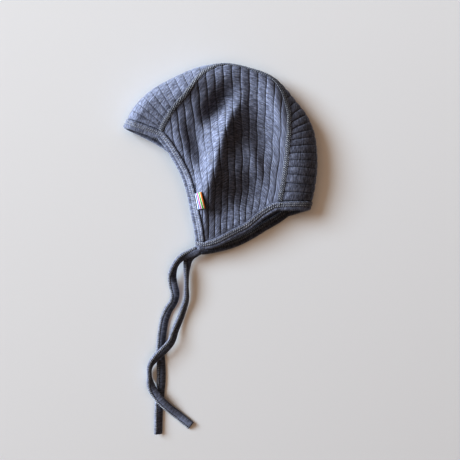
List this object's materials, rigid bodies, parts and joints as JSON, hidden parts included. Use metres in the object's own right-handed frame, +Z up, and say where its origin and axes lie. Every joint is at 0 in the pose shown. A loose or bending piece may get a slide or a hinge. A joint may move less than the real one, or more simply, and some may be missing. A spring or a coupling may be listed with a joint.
{
  "type": "baby bonnet",
  "caption": "Soft ribbed knit bonnet for a baby, lying on its side, with a pointed peak over the brow, bound face and neck edges, a small side tag and two loose flat ties.",
  "frame": {"origin": "on the floor under the middle of the bonnet's own box, ties left out, as the bonnet lies on its side", "axes": "+Z up from the floor through both sides of the flattened bonnet, +Y from the chin towards the crown, +X from the face towards the back of the head"},
  "size_m": [0.1993, 0.3807, 0.041],
  "materials": {
    "rib_knit": "matte heathered grey-blue rib knit",
    "binding_knit": "matte heathered grey-blue fine knit, folded and stitched",
    "tie_knit": "matte heathered dark blue-grey fine knit, folded and stitched",
    "tag_weave": "satin woven tape with coloured stripes"
  },
  "bodies": {
    "root": {"side_panel_upper": "rib_knit", "side_panel_lower": "rib_knit", "centre_panel": "rib_knit", "face_binding": "binding_knit", "neck_binding": "binding_knit", "tie_upper": "tie_knit", "tie_lower": "tie_knit", "woven_tag": "tag_weave"}
  },
  "joints": []
}
